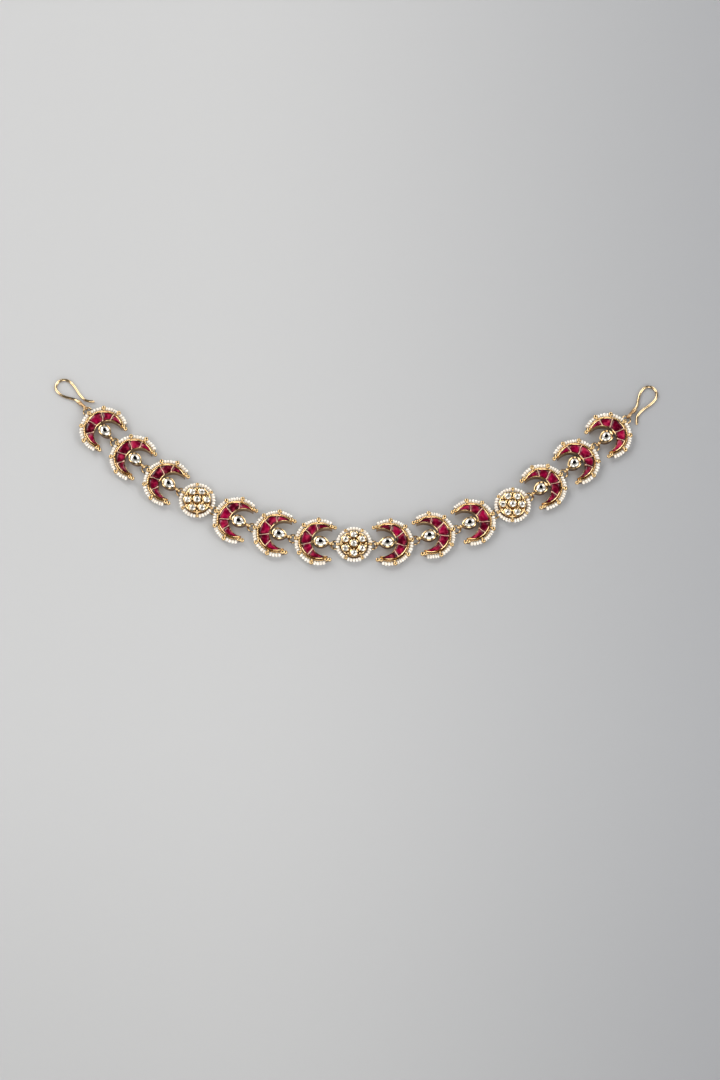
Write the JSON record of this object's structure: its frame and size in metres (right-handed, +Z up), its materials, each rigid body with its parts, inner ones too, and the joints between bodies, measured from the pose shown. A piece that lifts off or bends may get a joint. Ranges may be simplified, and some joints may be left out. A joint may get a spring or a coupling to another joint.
{
  "type": "bridal head strip",
  "caption": "Gold head strip of crescents inlaid with deep red stones and seven-stone discs, edged with seed pearls, linked by jump rings between two wire hooks.",
  "frame": {"origin": "centre of the centre disc's flat back, on the surface that the strip lies on", "axes": "+X along the strip to the viewer's right, +Y towards the side that both ends bend up to, +Z up off the surface, out of the stones' faces"},
  "size_m": [0.3321, 0.1087, 0.0055],
  "materials": {
    "gold": "polished gold plate",
    "inlaid_red_stone": "polished, deep pink-red",
    "clear_stone": "foil-backed, faceted",
    "seed_pearl": "cream pearl lustre"
  },
  "bodies": {
    "root": {"crescent_left_1": "gold", "crescent_left_2": "gold", "crescent_left_3": "gold", "crescent_left_4": "gold", "crescent_left_5": "gold", "crescent_left_6": "gold", "crescent_right_1": "gold", "crescent_right_2": "gold", "crescent_right_3": "gold", "crescent_right_4": "gold", "crescent_right_5": "gold", "crescent_right_6": "gold", "disc_centre": "gold", "disc_left": "gold", "disc_pearls_centre": "seed_pearl", "disc_pearls_left": "seed_pearl", "disc_pearls_right": "seed_pearl", "disc_right": "gold", "hook_left": "gold", "hook_right": "gold", "jump_ring_left_1": "gold", "jump_ring_left_2": "gold", "jump_ring_left_3": "gold", "jump_ring_left_4": "gold", "jump_ring_left_5": "gold", "jump_ring_left_6": "gold", "jump_ring_left_7": "gold", "jump_ring_left_8": "gold", "jump_ring_right_1": "gold", "jump_ring_right_2": "gold", "jump_ring_right_3": "gold", "jump_ring_right_4": "gold", "jump_ring_right_5": "gold", "jump_ring_right_6": "gold", "jump_ring_right_7": "gold", "jump_ring_right_8": "gold", "mouth_stone_left_1": "clear_stone", "mouth_stone_left_2": "clear_stone", "mouth_stone_left_3": "clear_stone", "mouth_stone_left_4": "clear_stone", "mouth_stone_left_5": "clear_stone", "mouth_stone_left_6": "clear_stone", "mouth_stone_right_1": "clear_stone", "mouth_stone_right_2": "clear_stone", "mouth_stone_right_3": "clear_stone", "mouth_stone_right_4": "clear_stone", "mouth_stone_right_5": "clear_stone", "mouth_stone_right_6": "clear_stone", "pearl_string_left_1": "seed_pearl", "pearl_string_left_2": "seed_pearl", "pearl_string_left_3": "seed_pearl", "pearl_string_left_4": "seed_pearl", "pearl_string_left_5": "seed_pearl", "pearl_string_left_6": "seed_pearl", "pearl_string_right_1": "seed_pearl", "pearl_string_right_2": "seed_pearl", "pearl_string_right_3": "seed_pearl", "pearl_string_right_4": "seed_pearl", "pearl_string_right_5": "seed_pearl", "pearl_string_right_6": "seed_pearl"}
  },
  "joints": []
}
